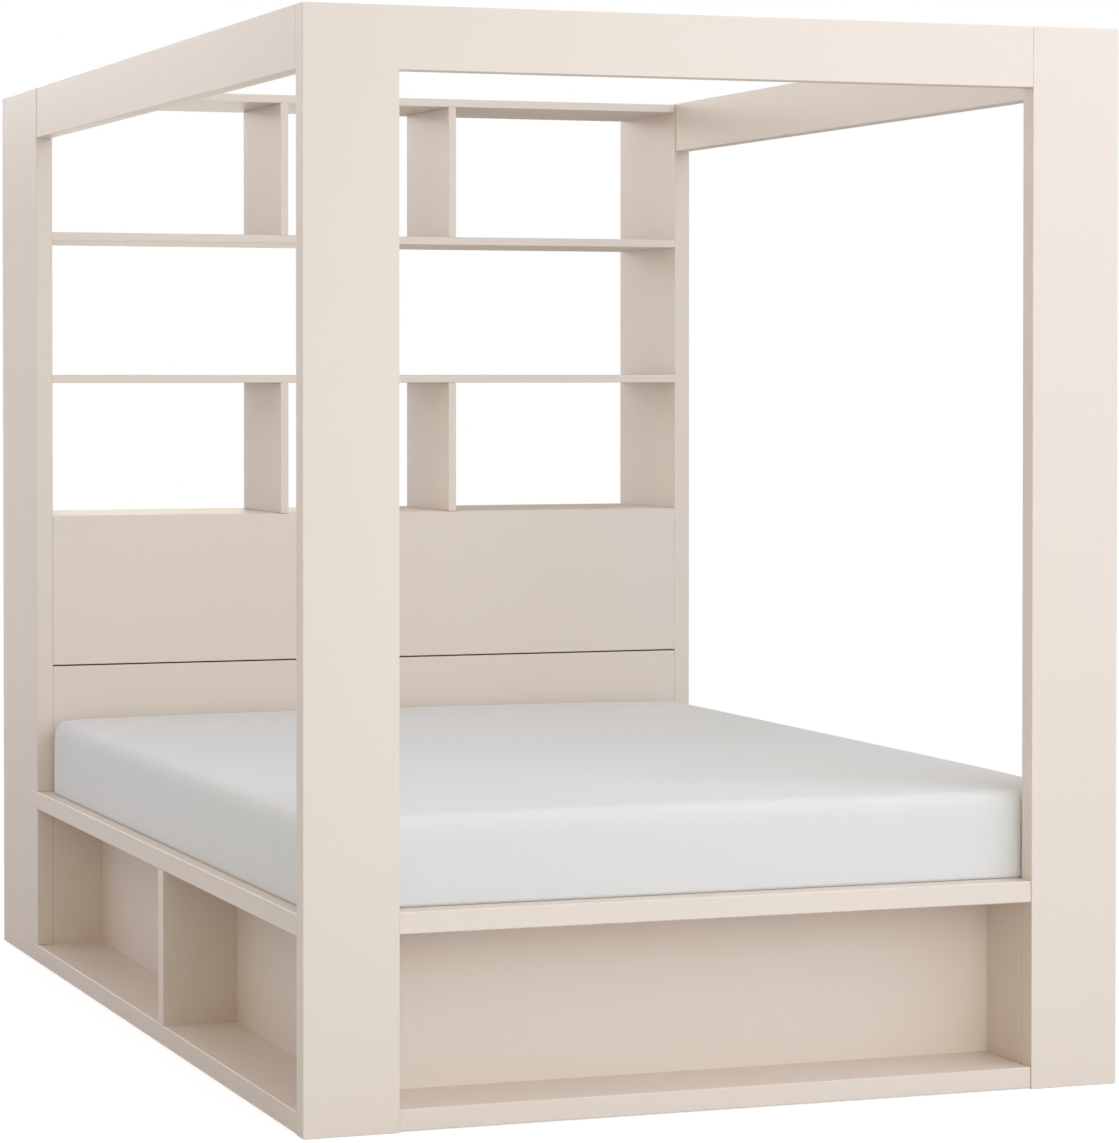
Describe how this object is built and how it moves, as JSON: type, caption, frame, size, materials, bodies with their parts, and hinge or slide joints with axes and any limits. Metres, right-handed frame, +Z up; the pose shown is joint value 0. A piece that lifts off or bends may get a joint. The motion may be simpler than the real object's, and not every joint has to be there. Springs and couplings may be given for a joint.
{
  "type": "canopy bed",
  "caption": "Lacquered canopy bed: plank posts and beams, open niches around the base, a shelf unit with a drop-down headboard flap at its head, and a mattress.",
  "frame": {"origin": "on the floor under the middle of the bed", "axes": "+Z up, +Y from the foot to the head of the bed, +X to the right seen from the foot"},
  "size_m": [1.548, 2.412, 1.926],
  "materials": {
    "lacquered_board": "satin",
    "slat_wood": "matte",
    "mattress_fabric": "matte",
    "steel": "satin",
    "latch_plastic": "matte",
    "bush_nylon": "satin",
    "felt": "matte"
  },
  "bodies": {
    "frame": {"base_dowels": "slat_wood", "batten_screws": "steel", "canopy_dowels": "slat_wood", "centre_beam": "slat_wood", "centre_leg_foot": "slat_wood", "centre_leg_head": "slat_wood", "compartment_floor": "lacquered_board", "compartment_partition_left": "lacquered_board", "compartment_partition_right": "lacquered_board", "divider_dowels": "slat_wood", "floor_pads": "felt", "foot_back_panel": "lacquered_board", "foot_beam": "lacquered_board", "foot_bottom_board": "lacquered_board", "foot_post_left": "lacquered_board", "foot_post_right": "lacquered_board", "foot_top_board": "lacquered_board", "head_cross_board": "lacquered_board", "head_post_left": "lacquered_board", "head_post_right": "lacquered_board", "head_top_board": "lacquered_board", "headboard_back_panel": "lacquered_board", "headboard_lower_panel": "lacquered_board", "headboard_shelf": "lacquered_board", "lower_divider_left": "lacquered_board", "lower_divider_right": "lacquered_board", "mattress": "mattress_fabric", "middle_shelf": "lacquered_board", "niche_end_panel_left": "lacquered_board", "niche_end_panel_right": "lacquered_board", "pivot_bushes": "bush_nylon", "post_dowels": "slat_wood", "push_latches": "latch_plastic", "rear_cross_board": "lacquered_board", "rear_end_panel_left": "lacquered_board", "rear_end_panel_right": "lacquered_board", "rear_stile_left": "lacquered_board", "rear_stile_right": "lacquered_board", "shelf_dowels": "slat_wood", "side_back_panel_left": "lacquered_board", "side_back_panel_right": "lacquered_board", "side_beam_left": "lacquered_board", "side_beam_right": "lacquered_board", "side_bottom_board_left": "lacquered_board", "side_bottom_board_right": "lacquered_board", "side_niche_divider_left": "lacquered_board", "side_niche_divider_right": "lacquered_board", "side_top_board_left": "lacquered_board", "side_top_board_right": "lacquered_board", "slat_batten_left": "slat_wood", "slat_batten_right": "slat_wood", "slat_pegs": "slat_wood", "slats": "slat_wood", "upper_divider_left": "lacquered_board", "upper_divider_right": "lacquered_board", "upper_shelf": "lacquered_board"},
    "flap": {"headboard_flap": "lacquered_board", "pivot_pins": "steel", "latch_plates": "steel"}
  },
  "joints": [
    {"name": "flap_hinge", "type": "hinge", "parent": "frame", "child": "flap", "pos_m": [0, 0.86, 0.6625], "axis": [1, 0, 0], "range_deg": [0, 90]}
  ]
}
